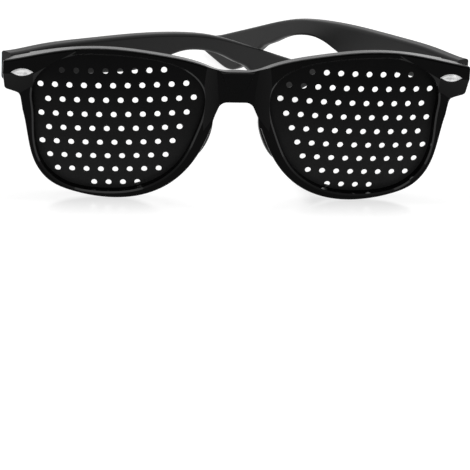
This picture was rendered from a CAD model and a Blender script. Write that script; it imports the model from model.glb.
"""Looks, stage and camera for a pair of black pinhole glasses that stands folded on a pale table."""

import math

import bpy
import numpy as np
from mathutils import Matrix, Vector

bl_info = {
    "name": "Pinhole glasses",
    "version": (1, 0, 0),
    "blender": (4, 5, 0),
    "location": "View3D > Sidebar > Glasses",
    "description": "Dresses the front, pinhole sheets, studs, hinges and temples of pinhole glasses",
    "category": "Object",
}

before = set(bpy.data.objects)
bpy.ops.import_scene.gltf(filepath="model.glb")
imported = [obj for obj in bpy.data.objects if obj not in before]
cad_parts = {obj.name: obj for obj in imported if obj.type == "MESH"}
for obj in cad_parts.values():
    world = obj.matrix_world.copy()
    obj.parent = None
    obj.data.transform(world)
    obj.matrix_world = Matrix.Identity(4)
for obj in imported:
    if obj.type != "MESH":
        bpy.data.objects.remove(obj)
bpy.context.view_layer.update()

BLACK = (0.0, 0.0, 0.0, 1.0)
WHITE = (1.0, 1.0, 1.0, 1.0)

# The front's polish, by the cosine of the surface's angle to its sphere: none up to twenty-six
# degrees and whole from sixty-one. What faces up is dimmed, more and more between these heights.
POLISH_START = 0.90
POLISH_WHOLE = 0.48
BROW_FOOT = 0.025
BROW_TOP = 0.035
BROW_DIMMING = 0.8

# What the marks in the plastic add to its roughness
HAZE_ROUGHNESS = 0.05
FLOW_ROUGHNESS = 0.04
MOULD_GRAIN_ROUGHNESS = 0.02
COAT_ROUGHNESS = 0.06
COAT_IOR = 1.65

# The dust on the sheets: the even share low down, the clouds' share at the top and what they gain
# lower down, and how the grain speckles both
EVEN_DUST = 0.75
CLOUD_DUST = 0.15
LOW_CLOUD_DUST = 0.5
SPECKLE_BASE = 0.7
SPECKLE = 0.6
SHEET_GRAIN_ROUGHNESS = 0.10
DUST_ROUGHNESS = 0.05
SHEET_GRAIN_DEPTH = 0.000012

# What the marks in the metal add to its roughness
SCRATCH_ROUGHNESS = 0.12
DULL_ROUGHNESS = 0.06
SCRATCH_DEPTH = 0.000006

# Where the dim mirrored room ends and the white backdrop begins, as the Y of a ray's direction
ROOM_EDGE = -0.5
BACKDROP_EDGE = 0.1

TABLE_IOR = 1.8
SENSOR_WIDTH_MM = 36.0
CLIP_START = 0.05
CLIP_END = 50.0


class Value:
    """A number socket in a node tree, so that sums on it become Math nodes."""

    def __init__(self, tree, socket):
        self.tree = tree
        self.socket = socket

    def _math(self, operation, first, second=None):
        """One Math node: the operation on the first term and, where it has one, the second."""
        node = self.tree.nodes.new("ShaderNodeMath")
        node.operation = operation
        for place, term in enumerate((first, second)):
            if isinstance(term, Value):
                self.tree.links.new(term.socket, node.inputs[place])
            elif term is not None:
                node.inputs[place].default_value = term
        return Value(self.tree, node.outputs[0])

    def __add__(self, other):
        return self._math("ADD", self, other)

    __radd__ = __add__

    def __sub__(self, other):
        return self._math("SUBTRACT", self, other)

    def __rsub__(self, other):
        return self._math("SUBTRACT", other, self)

    def __mul__(self, other):
        return self._math("MULTIPLY", self, other)

    __rmul__ = __mul__

    def __truediv__(self, other):
        return self._math("DIVIDE", self, other)

    def sign(self):
        """One, nothing or minus one, as the value stands to zero."""
        return self._math("SIGN", self)

    def unsigned(self):
        """The value without its sign."""
        return self._math("ABSOLUTE", self)

    def largest(self, other):
        """The larger of the two values."""
        return self._math("MAXIMUM", self, other)

    def clipped(self):
        """The value held between nothing and one."""
        return self._math("MINIMUM", self.largest(0.0), 1.0)

    def ramp(self, start, end):
        """Nothing at start, one at end, straight between them and held beyond them."""
        return ((self - start) / (end - start)).clipped()

    def raised(self, above, gain):
        """What stands above a level, times a gain, held between nothing and one."""
        return ((self - above) * gain).clipped()


class Shading:
    """The node tree of a new material or world, emptied but for its output."""

    def __init__(self, owner, output="ShaderNodeOutputMaterial"):
        owner.use_nodes = True
        self.owner = owner
        self.tree = owner.node_tree
        self.tree.nodes.clear()
        self.output = self.tree.nodes.new(output)

    def node(self, kind, settings=None, inputs=None):
        """One node of this type: settings are its own properties, inputs go to its sockets by name
        or by place and may be plain values, sockets or Values."""
        made = self.tree.nodes.new(kind)
        for name, setting in (settings or {}).items():
            setattr(made, name, setting)
        for place, term in (inputs or {}).items():
            socket = made.inputs[place]
            if isinstance(term, Value):
                self.tree.links.new(term.socket, socket)
            elif isinstance(term, bpy.types.NodeSocket):
                self.tree.links.new(term, socket)
            else:
                socket.default_value = term
        return made

    def value(self, node, output=0):
        """A node's output as a Value."""
        return Value(self.tree, node.outputs[output])

    def place(self):
        """Object coordinates, which are the frame's own metres."""
        return self.node("ShaderNodeTexCoord").outputs["Object"]

    def axes(self, vector):
        """The X, Y and Z of a vector as three Values."""
        parts = self.node("ShaderNodeSeparateXYZ", inputs={"Vector": vector})
        return [self.value(parts, axis) for axis in "XYZ"]

    def vector_math(self, operation, first, second=None):
        """One Vector Math node, whose terms are sockets."""
        terms = {0: first} if second is None else {0: first, 1: second}
        return self.node("ShaderNodeVectorMath", {"operation": operation}, terms)

    def noise(self, size, detail=3.0, roughness=0.5, stretch=(1.0, 1.0, 1.0)):
        """Cloudy noise whose lumps are about this many metres across."""
        mapped = self.node("ShaderNodeMapping", inputs={"Vector": self.place(), "Scale": stretch})
        inputs = {
            "Vector": mapped.outputs[0],
            "Scale": 1.0 / size,
            "Detail": detail,
            "Roughness": roughness,
        }
        return self.value(self.node("ShaderNodeTexNoise", inputs=inputs), "Fac")

    def tint(self, share, low, high):
        """The colour that lies this share of the way from low to high."""
        inputs = {"Factor": share, "A": low, "B": high}
        return self.node("ShaderNodeMix", {"data_type": "RGBA"}, inputs).outputs["Result"]

    def bump(self, height, distance):
        """The normal of a surface raised by this height, in units of the distance in metres."""
        inputs = {"Height": height, "Distance": distance}
        return self.node("ShaderNodeBump", inputs=inputs).outputs[0]

    def turned_away(self, centre):
        """How far the surface has turned from facing straight out of a sphere or into it, less
        along the top of the brow. The angle is the one between the normal and the line from the
        sphere's centre. That centre is given for the +X half, and the -X half has its mirror image."""
        place = self.place()
        side = self.axes(place)[0].sign() * centre[0]
        middle = self.node("ShaderNodeCombineXYZ", inputs={0: side, 1: centre[1], 2: centre[2]})
        away = self.vector_math("SUBTRACT", place, middle.outputs[0])
        straight = self.vector_math("NORMALIZE", away.outputs[0])
        normal = self.node("ShaderNodeTexCoord").outputs["Normal"]
        cosine = self.value(self.vector_math("DOT_PRODUCT", straight.outputs[0], normal), "Value")
        turned = cosine.unsigned().ramp(POLISH_START, POLISH_WHOLE)
        brow = self.axes(place)[2].ramp(BROW_FOOT, BROW_TOP)
        facing_up = self.axes(normal)[2].clipped()
        return turned * (1.0 - facing_up * brow * BROW_DIMMING)

    def surface(self, shader):
        """Links the shader to the output and hands back the material or world."""
        self.tree.links.new(shader.outputs[0], self.output.inputs["Surface"])
        return self.owner


def moulded_plastic(name, colour, worn_colour, roughness, gloss, ripple, sphere=None):
    """Glossy injection-moulded black plastic: faint flow marks in the gloss, a haze of handling
    in the colour, and a slow ripple of the mould in the surface. Where a sphere's centre is given,
    what turns away from the sphere, which is to say the rounded edges and the walls, is polished."""
    finish = Shading(bpy.data.materials.new(name))
    handling = finish.noise(size=0.011, detail=5.0, roughness=0.62)
    flow = finish.noise(size=0.004, stretch=(0.25, 1.0, 1.0))
    grain = finish.noise(size=0.0007, detail=2.0)
    wave = finish.noise(size=0.009, detail=1.5)
    haze = handling.raised(above=0.45, gain=3.0)
    marked = roughness + haze * HAZE_ROUGHNESS + flow * FLOW_ROUGHNESS + grain * MOULD_GRAIN_ROUGHNESS
    shader = finish.node(
        "ShaderNodeBsdfPrincipled",
        inputs={
            "Base Color": finish.tint(haze, colour, worn_colour),
            "Roughness": marked,
            "Normal": finish.bump(wave, ripple),
            "Coat Weight": finish.turned_away(sphere) if sphere else 0.0,
            "Specular IOR Level": gloss,
            "Coat Roughness": COAT_ROUGHNESS,
            "Coat IOR": COAT_IOR,
        },
    )
    return finish.surface(shader)


def pressed_sheet(name, colour, dusty_colour, roughness, gloss, dust_foot, dust_top):
    """Satin black sheet: fine grain, and dust that lightens it in clouds, more of it lower down."""
    finish = Shading(bpy.data.materials.new(name))
    clouds = finish.noise(size=0.013, detail=4.0, roughness=0.6).raised(above=0.4, gain=1.2)
    grain = finish.noise(size=0.00035, detail=2.0)
    low_down = finish.axes(finish.place())[2].ramp(dust_top, dust_foot)
    cloudy = clouds * (CLOUD_DUST + low_down * LOW_CLOUD_DUST)
    dust = (low_down * EVEN_DUST + cloudy) * (SPECKLE_BASE + grain * SPECKLE)
    shader = finish.node(
        "ShaderNodeBsdfPrincipled",
        inputs={
            "Base Color": finish.tint(dust.clipped(), colour, dusty_colour),
            "Roughness": roughness + grain * SHEET_GRAIN_ROUGHNESS + dust * DUST_ROUGHNESS,
            "Normal": finish.bump(grain, SHEET_GRAIN_DEPTH),
            "Specular IOR Level": gloss,
        },
    )
    return finish.surface(shader)


def bright_metal(name, colour, dull_colour, roughness, brushing):
    """Polished or brushed metal: fine scratches drawn along one axis and duller clouds in the plating."""
    finish = Shading(bpy.data.materials.new(name))
    scratches = finish.noise(size=0.0002, stretch=brushing)
    dull = finish.noise(size=0.0016, detail=4.0).raised(above=0.45, gain=3.0)
    shader = finish.node(
        "ShaderNodeBsdfPrincipled",
        inputs={
            "Base Color": finish.tint(dull, colour, dull_colour),
            "Metallic": 1.0,
            "Roughness": roughness + scratches * SCRATCH_ROUGHNESS + dull * DULL_ROUGHNESS,
            "Normal": finish.bump(scratches, SCRATCH_DEPTH),
        },
    )
    return finish.surface(shader)


def dress(nodes, material):
    """Gives CAD nodes this material in every slot."""
    for name in nodes:
        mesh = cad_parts[name].data
        mesh.materials.clear()
        mesh.materials.append(material)


def colour_property(name, description, default):
    """A colour that the user can change."""
    return bpy.props.FloatVectorProperty(
        name=name, description=description, subtype="COLOR", size=4, default=default
    )


def share_property(name, description, default):
    """A share between nothing and one."""
    return bpy.props.FloatProperty(
        name=name, description=description, subtype="FACTOR", min=0.0, max=1.0, default=default
    )


def length_property(name, description, default):
    """A length or a place along one axis, in metres."""
    return bpy.props.FloatProperty(name=name, description=description, unit="LENGTH", default=default)


def lengths_property(name, description, default):
    """A place, or the sides of something flat, in metres."""
    return bpy.props.FloatVectorProperty(
        name=name, description=description, unit="LENGTH", size=len(default), default=default
    )


def power_property(name, description, default):
    """A light's power, in watts."""
    return bpy.props.FloatProperty(name=name, description=description, unit="POWER", default=default)


class PlasticLook(bpy.types.PropertyGroup):
    colour: colour_property(
        "Plastic", "Colour of the moulded front and temples", (0.0015, 0.0015, 0.0016, 1.0)
    )
    worn_colour: colour_property(
        "Handled plastic", "Colour where fingers have left a haze", (0.0035, 0.0035, 0.0038, 1.0)
    )
    front_gloss: share_property("Front gloss", "How strongly the front's face reflects", 0.06)
    front_roughness: share_property("Front roughness", "How blurred the front's reflections are", 0.16)
    front_ripple: length_property("Front ripple", "Depth of the mould's ripple on the front", 0.00002)
    temple_gloss: share_property("Temple gloss", "How strongly the temples reflect", 0.23)
    temple_roughness: share_property("Temple roughness", "How blurred the temples' reflections are", 0.34)
    temple_ripple: length_property("Temple ripple", "Depth of the mould's ripple on the temples", 0.00003)
    sphere_centre: lengths_property(
        "Sphere's centre",
        "Centre of the sphere that the +X half of the front's face follows",
        (0.024911, 0.068031, 0.028575),
    )


class SheetLook(bpy.types.PropertyGroup):
    colour: colour_property("Sheet", "Colour of the pinhole sheets", (0.0015, 0.0015, 0.0017, 1.0))
    dusty_colour: colour_property(
        "Dusty sheet", "Colour of the sheets where dust lies on them", (0.058, 0.058, 0.0585, 1.0)
    )
    gloss: share_property("Gloss", "How strongly the sheets reflect", 0.08)
    roughness: share_property("Roughness", "How blurred the sheets' reflections are", 0.38)
    dust_foot: length_property("Dust foot", "Height at which the dust is thickest", 0.004)
    dust_top: length_property("Dust top", "Height above which there is hardly any", 0.040)


class MetalLook(bpy.types.PropertyGroup):
    stud_colour: colour_property("Stud", "Colour of the polished studs", (0.82, 0.82, 0.82, 1.0))
    stud_roughness: share_property("Stud roughness", "How blurred the studs' reflections are", 0.10)
    hinge_colour: colour_property(
        "Hinge", "Colour of the hinge leaves and screws", (0.62, 0.62, 0.63, 1.0)
    )
    hinge_roughness: share_property("Hinge roughness", "How blurred the hinges' reflections are", 0.28)
    dull_colour: colour_property(
        "Dull metal", "Colour of the metal where its plating is duller", (0.42, 0.42, 0.43, 1.0)
    )


class StageLook(bpy.types.PropertyGroup):
    table_colour: colour_property("Table", "Colour of the table", (0.5, 0.5, 0.5, 1.0))
    table_glow: share_property("Table glow", "How bright the table is to the camera by itself", 0.7)
    far_glow: share_property("Far glow", "What the table's glow gains further off", 0.25)
    back_glow: share_property("Back glow", "What it gains behind and between the rims' feet", 0.12)
    table_roughness: share_property(
        "Table roughness", "How blurred the mirror image on the table is under the glasses", 0.08
    )
    table_blur: share_property(
        "Table blur", "What the roughness gains further off and between the feet", 0.5
    )
    polish_edge: length_property(
        "Polish edge", "Where the table's mirror image begins to fade, in front of the glasses", -0.066
    )
    polish_back: length_property("Polish back", "Where it begins to fade behind the rims' feet", -0.058)
    feet_gap: length_property(
        "Feet gap", "How far from the middle it begins to fade between the rims' feet", 0.026
    )
    polish_fade: length_property("Polish fade", "Width over which it fades", 0.016)
    shadow_reach: length_property(
        "Shadow reach", "How far to the sides and behind the shadow and the mirror image stay whole", 0.1
    )
    pool_glow: share_property("Pool glow", "How bright the table is in the mirror of the plastic", 0.75)
    room_glow: share_property(
        "Room glow", "How bright the room behind the camera is in the mirror of the plastic", 0.25
    )
    ambient: share_property("Ambient", "Light that comes from all around", 0.08)
    table_size: length_property("Table size", "Side of the table", 12.0)
    light_aim: lengths_property("Light aim", "What both lights face", (0.0, 0.0, 0.02))
    overhead_place: lengths_property(
        "Overhead place", "Where the softbox above the glasses hangs", (0.05, 0.25, 0.95)
    )
    overhead_size: lengths_property("Overhead size", "Sides of the softbox above the glasses", (1.3, 0.8))
    overhead_power: power_property("Overhead light", "Power of the softbox above the glasses", 3.6)
    fill_place: lengths_property("Fill place", "Where the light behind the camera hangs", (-0.5, -1.6, 1.5))
    fill_size: lengths_property("Fill size", "Sides of the light behind the camera", (1.2, 1.2))
    fill_power: power_property("Fill light", "Power of the light behind the camera", 4.0)
    camera_place: lengths_property(
        "Camera place", "Where the camera stands", (-0.093406, -0.986398, 0.392243)
    )
    camera_turn: bpy.props.FloatVectorProperty(
        name="Camera turn",
        description="The camera's angles about X, Y and Z",
        unit="ROTATION",
        size=3,
        default=(math.radians(66.3885), math.radians(-2.6255), math.radians(-4.7316)),
    )
    camera_lens: bpy.props.FloatProperty(
        name="Lens", description="Focal length in millimetres on a 36 mm frame", default=245.1
    )


class GLASSES_OT_front(bpy.types.Operator):
    """Dress the moulded front in glossy black plastic with polished edges"""

    bl_idname = "glasses.front"
    bl_label = "Front"

    def execute(self, context):
        look = context.scene.glasses_plastic
        plastic = moulded_plastic(
            "front_plastic",
            look.colour,
            look.worn_colour,
            look.front_roughness,
            look.front_gloss,
            look.front_ripple,
            sphere=tuple(look.sphere_centre),
        )
        dress(["front_frame"], plastic)
        return {"FINISHED"}


class GLASSES_OT_sheets(bpy.types.Operator):
    """Dress the pinhole sheets in satin black"""

    bl_idname = "glasses.sheets"
    bl_label = "Pinhole sheets"

    def execute(self, context):
        look = context.scene.glasses_sheet
        sheet = pressed_sheet(
            "pinhole_sheet",
            look.colour,
            look.dusty_colour,
            look.roughness,
            look.gloss,
            look.dust_foot,
            look.dust_top,
        )
        dress(["left_pinhole_lens", "right_pinhole_lens"], sheet)
        return {"FINISHED"}


class GLASSES_OT_temples(bpy.types.Operator):
    """Dress both temples in the same plastic as the front, with a softer and stronger gloss"""

    bl_idname = "glasses.temples"
    bl_label = "Temples"

    def execute(self, context):
        look = context.scene.glasses_plastic
        plastic = moulded_plastic(
            "temple_plastic",
            look.colour,
            look.worn_colour,
            look.temple_roughness,
            look.temple_gloss,
            look.temple_ripple,
        )
        dress(["left_temple", "right_temple"], plastic)
        return {"FINISHED"}


class GLASSES_OT_metal(bpy.types.Operator):
    """Dress the studs in polished metal, and the hinge leaves and screws in brushed metal"""

    bl_idname = "glasses.metal"
    bl_label = "Studs and hinges"

    def execute(self, context):
        look = context.scene.glasses_metal
        dull = look.dull_colour
        across_x = (0.1, 1.0, 1.0)
        up_z = (1.0, 1.0, 0.1)
        polished = bright_metal("stud_metal", look.stud_colour, dull, look.stud_roughness, across_x)
        brushed = bright_metal("hinge_metal", look.hinge_colour, dull, look.hinge_roughness, up_z)
        dress(["left_stud", "right_stud"], polished)
        leaves = ["front_hinge", "temple_hinge", "hinge_screw"]
        dress([f"{side}_{leaf}" for side in ("left", "right") for leaf in leaves], brushed)
        return {"FINISHED"}


def table_finish(look):
    """White table top with soft shadows and a faint mirror image of the rims' feet. The table glows
    to the camera, so that it runs into the white backdrop, and in the mirror of the plastic. A
    little in front of the glasses, and further off on the other sides, it glows more, and shadow
    and mirror image fade into white there. Behind and between the feet the mirror image
    is blurred."""
    finish = Shading(bpy.data.materials.new("table_top"))
    path = finish.node("ShaderNodeLightPath")
    across, along, _ = finish.axes(finish.place())
    front = (look.polish_edge - along) / look.polish_fade
    around = (across.unsigned().largest(along) - look.shadow_reach) / look.shadow_reach
    away = front.largest(around).clipped()
    back = (along - look.polish_back) / look.polish_fade
    between = (look.feet_gap - across.unsigned()) / look.polish_fade
    behind = back.largest(between).clipped()
    mirrored = finish.value(path, "Is Glossy Ray").largest(finish.value(path, "Is Transmission Ray"))
    lift = (away * look.far_glow).largest(behind * look.back_glow)
    glow = finish.value(path, "Is Camera Ray") * (look.table_glow + lift) + mirrored * look.pool_glow
    shader = finish.node(
        "ShaderNodeBsdfPrincipled",
        inputs={
            "Base Color": look.table_colour,
            "Roughness": look.table_roughness + away.largest(behind) * look.table_blur,
            "Emission Color": finish.tint(glow.clipped(), BLACK, WHITE),
            "Emission Strength": 1.0,
            "IOR": TABLE_IOR,
        },
    )
    return finish.surface(shader)


def studio_world(look):
    """Dim light from all around. To the camera and through glass the backdrop is white everywhere,
    and in the mirror of metal and plastic it is white behind the glasses and dimmer in the room
    behind the camera."""
    finish = Shading(bpy.data.worlds.new("studio"), "ShaderNodeOutputWorld")
    path = finish.node("ShaderNodeLightPath")
    direct = finish.value(path, "Is Camera Ray").largest(finish.value(path, "Is Transmission Ray"))
    direction = finish.node("ShaderNodeTexCoord").outputs["Generated"]
    behind = finish.axes(direction)[1].ramp(ROOM_EDGE, BACKDROP_EDGE)
    room = look.room_glow + behind * (1.0 - look.room_glow)
    seen = direct.largest(finish.value(path, "Is Glossy Ray") * room)
    glow = seen.largest(look.ambient)
    shade = finish.tint(glow.clipped(), BLACK, WHITE)
    return finish.surface(finish.node("ShaderNodeBackground", inputs={"Color": shade, "Strength": 1.0}))


def area_light(name, place, aim, size, power):
    """A rectangular softbox that faces its aim."""
    lamp = bpy.data.lights.new(name, "AREA")
    lamp.shape = "RECTANGLE"
    lamp.size, lamp.size_y = size
    lamp.energy = power
    light = bpy.data.objects.new(name, lamp)
    light.location = place
    light.rotation_euler = (Vector(aim) - Vector(place)).to_track_quat("-Z", "Y").to_euler()
    bpy.context.scene.collection.objects.link(light)


class GLASSES_OT_stage(bpy.types.Operator):
    """Set the pale table, the studio light and the camera"""

    bl_idname = "glasses.stage"
    bl_label = "Stage"

    def execute(self, context):
        look = context.scene.glasses_stage
        corners = np.array([(-1, -1, 0), (1, -1, 0), (1, 1, 0), (-1, 1, 0)]) * look.table_size / 2
        mesh = bpy.data.meshes.new("table")
        mesh.from_pydata(corners.tolist(), [], [(0, 1, 2, 3)])
        mesh.materials.append(table_finish(look))
        table = bpy.data.objects.new("table", mesh)
        context.scene.collection.objects.link(table)

        context.scene.world = studio_world(look)
        aim = look.light_aim
        area_light("overhead_softbox", look.overhead_place, aim, look.overhead_size, look.overhead_power)
        area_light("fill_softbox", look.fill_place, aim, look.fill_size, look.fill_power)

        camera = bpy.data.cameras.new("camera")
        camera.lens = look.camera_lens
        camera.sensor_width = SENSOR_WIDTH_MM
        camera.clip_start = CLIP_START
        camera.clip_end = CLIP_END
        shot = bpy.data.objects.new("camera", camera)
        shot.location = look.camera_place
        shot.rotation_euler = look.camera_turn
        context.scene.collection.objects.link(shot)
        context.scene.camera = shot
        context.scene.view_settings.view_transform = "Standard"
        return {"FINISHED"}


class GLASSES_PT_panel(bpy.types.Panel):
    """Lists the operators, and under them the sizes and colours that they use"""

    bl_label = "Pinhole glasses"
    bl_idname = "GLASSES_PT_panel"
    bl_space_type = "VIEW_3D"
    bl_region_type = "UI"
    bl_category = "Glasses"

    def draw(self, context):
        for operator in OPERATORS:
            self.layout.operator(operator.bl_idname)
        for name in LOOKS:
            look = getattr(context.scene, name)
            box = self.layout.box()
            for setting in look.__annotations__:
                box.prop(look, setting)


OPERATORS = [GLASSES_OT_front, GLASSES_OT_sheets, GLASSES_OT_temples, GLASSES_OT_metal, GLASSES_OT_stage]
LOOKS = {
    "glasses_plastic": PlasticLook,
    "glasses_sheet": SheetLook,
    "glasses_metal": MetalLook,
    "glasses_stage": StageLook,
}
CLASSES = [*LOOKS.values(), *OPERATORS, GLASSES_PT_panel]


def register():
    for cls in CLASSES:
        bpy.utils.register_class(cls)
    for name, look in LOOKS.items():
        setattr(bpy.types.Scene, name, bpy.props.PointerProperty(type=look))


def unregister():
    for name in LOOKS:
        delattr(bpy.types.Scene, name)
    for cls in reversed(CLASSES):
        bpy.utils.unregister_class(cls)


def main():
    """Makes everything in order."""
    register()
    bpy.ops.glasses.front()
    bpy.ops.glasses.sheets()
    bpy.ops.glasses.temples()
    bpy.ops.glasses.metal()
    bpy.ops.glasses.stage()


if __name__ == "__main__":
    main()
